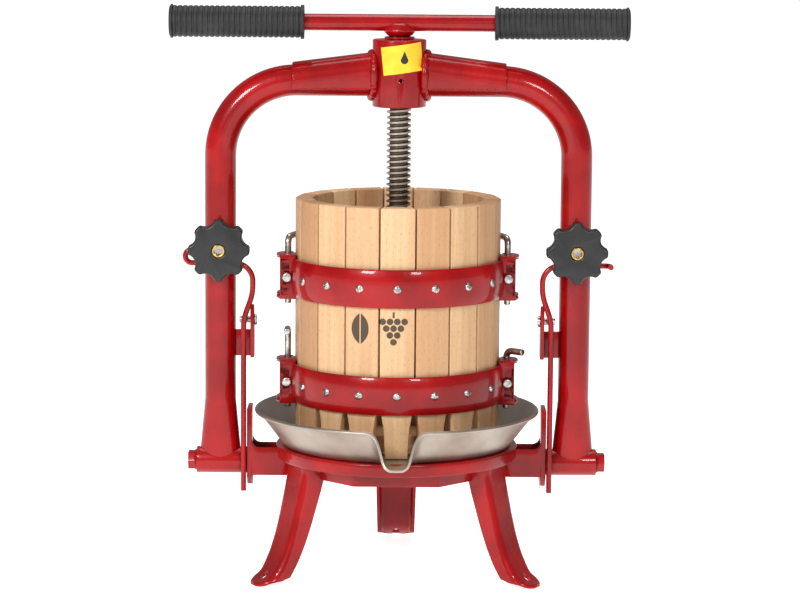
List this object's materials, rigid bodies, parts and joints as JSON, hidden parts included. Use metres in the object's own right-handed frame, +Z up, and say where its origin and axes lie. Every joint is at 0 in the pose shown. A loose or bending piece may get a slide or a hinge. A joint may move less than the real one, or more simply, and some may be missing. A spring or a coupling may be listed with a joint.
{
  "type": "basket wine press",
  "caption": "Tabletop basket press: a screw in a tilting tube arch presses fruit in a slatted wooden basket over a spouted steel tray on splayed legs.",
  "frame": {"origin": "on the screw axis at floor level, the centre of the circle of foot bolt holes", "axes": "+Z up along the screw, -Y to the front where the spout points, +X to the right along the handle"},
  "size_m": [0.41, 0.292, 0.5119],
  "materials": {
    "red_enamel": "gloss",
    "zinc_steel": "zinc plated",
    "screw_steel": "bare, turned",
    "nut_brass": "bare",
    "insert_brass": "bare",
    "yellow_label": "printed film",
    "grip_rubber": "ribbed",
    "knob_plastic": "satin",
    "stainless": "spun sheet",
    "beech": "planed, unvarnished",
    "press_wood": "planed, unvarnished"
  },
  "bodies": {
    "base": {"base_plate": "red_enamel", "base_ring": "red_enamel", "leg_rear": "red_enamel", "leg_front_left": "red_enamel", "leg_front_right": "red_enamel", "crossbar_left": "red_enamel", "crossbar_right": "red_enamel", "ear_plate_left": "red_enamel", "ear_plate_right": "red_enamel", "pivot_bolts": "zinc_steel", "pivot_nuts": "zinc_steel"},
    "arch": {"arch_tube_left": "red_enamel", "arch_tube_right": "red_enamel", "pivot_sleeve_left": "red_enamel", "pivot_sleeve_right": "red_enamel", "gusset_left": "red_enamel", "gusset_right": "red_enamel", "screw_hub": "red_enamel", "screw_nut": "nut_brass", "oil_label": "yellow_label", "knob_studs": "zinc_steel", "upright_tabs": "red_enamel", "latch_plate_left": "red_enamel", "latch_plate_right": "red_enamel", "latch_bolts": "zinc_steel", "stay_rod_left": "red_enamel", "stay_rod_right": "red_enamel"},
    "foot": {"press_foot": "red_enamel"},
    "screw": {"spindle": "screw_steel", "collar_washer": "zinc_steel", "handle_bar": "red_enamel", "grip_left": "grip_rubber", "grip_right": "grip_rubber"},
    "left_knob": {"knob_left": "knob_plastic", "knob_insert_left": "insert_brass"},
    "right_knob": {"knob_right": "knob_plastic", "knob_insert_right": "insert_brass"},
    "tray": {"drip_tray": "stainless", "press_board_left": "press_wood", "press_board_right": "press_wood", "press_block": "press_wood"},
    "basket": {"staves_front": "beech", "staves_rear": "beech", "stave_screws_front": "zinc_steel", "stave_screws_rear": "zinc_steel", "hoop_upper_front": "red_enamel", "hoop_upper_rear": "red_enamel", "hoop_lower_front": "red_enamel", "hoop_lower_rear": "red_enamel", "brackets_upper": "red_enamel", "brackets_lower": "red_enamel", "bracket_bolts": "zinc_steel", "bracket_nuts": "zinc_steel"},
    "pin_upper_left": {"hinge_pin_upper_left": "zinc_steel"},
    "pin_upper_right": {"hinge_pin_upper_right": "zinc_steel"},
    "pin_lower_left": {"hinge_pin_lower_left": "zinc_steel"},
    "pin_lower_right": {"hinge_pin_lower_right": "zinc_steel"}
  },
  "joints": [
    {"name": "arch_tilt", "type": "hinge", "parent": "base", "child": "arch", "pos_m": [0, 0, 0.1], "axis": [-1, 0, 0], "range_deg": [0, 10]},
    {"name": "screw_feed", "type": "slide", "parent": "arch", "child": "foot", "axis": [0, 0, 1], "range_m": [0, 0.2152]},
    {"name": "handle_turn", "type": "hinge", "parent": "foot", "child": "screw", "pos_m": [0, 0, 0.4967], "axis": [0, 0, 1], "range_deg": [0, 15480]},
    {"name": "left_knob_turn", "type": "hinge", "parent": "arch", "child": "left_knob", "pos_m": [-0.1595, 0, 0.295], "axis": [0, -1, 0], "range_deg": [0, 720]},
    {"name": "right_knob_turn", "type": "hinge", "parent": "arch", "child": "right_knob", "pos_m": [0.1595, 0, 0.295], "axis": [0, -1, 0], "range_deg": [0, 720]},
    {"name": "tray_turn", "type": "hinge", "parent": "base", "child": "tray", "pos_m": [0, 0, 0.117], "axis": [0, 0, 1], "range_deg": [-50, 50]},
    {"name": "basket_lift", "type": "slide", "parent": "tray", "child": "basket", "axis": [0, 0, 1], "range_m": [0, 0.03]},
    {"name": "pin_upper_left_pull", "type": "slide", "parent": "basket", "child": "pin_upper_left", "axis": [0, 0, 1], "range_m": [0, 0.06]},
    {"name": "pin_upper_right_pull", "type": "slide", "parent": "basket", "child": "pin_upper_right", "axis": [0, 0, 1], "range_m": [0, 0.06]},
    {"name": "pin_lower_left_pull", "type": "slide", "parent": "basket", "child": "pin_lower_left", "axis": [0, 0, 1], "range_m": [0, 0.02]},
    {"name": "pin_lower_right_pull", "type": "slide", "parent": "basket", "child": "pin_lower_right", "axis": [0, 0, 1], "range_m": [0, 0.035]}
  ],
  "couplings": [
    {"joint": "screw_feed", "follows": "handle_turn", "m_per_rad": 0.00079577}
  ]
}
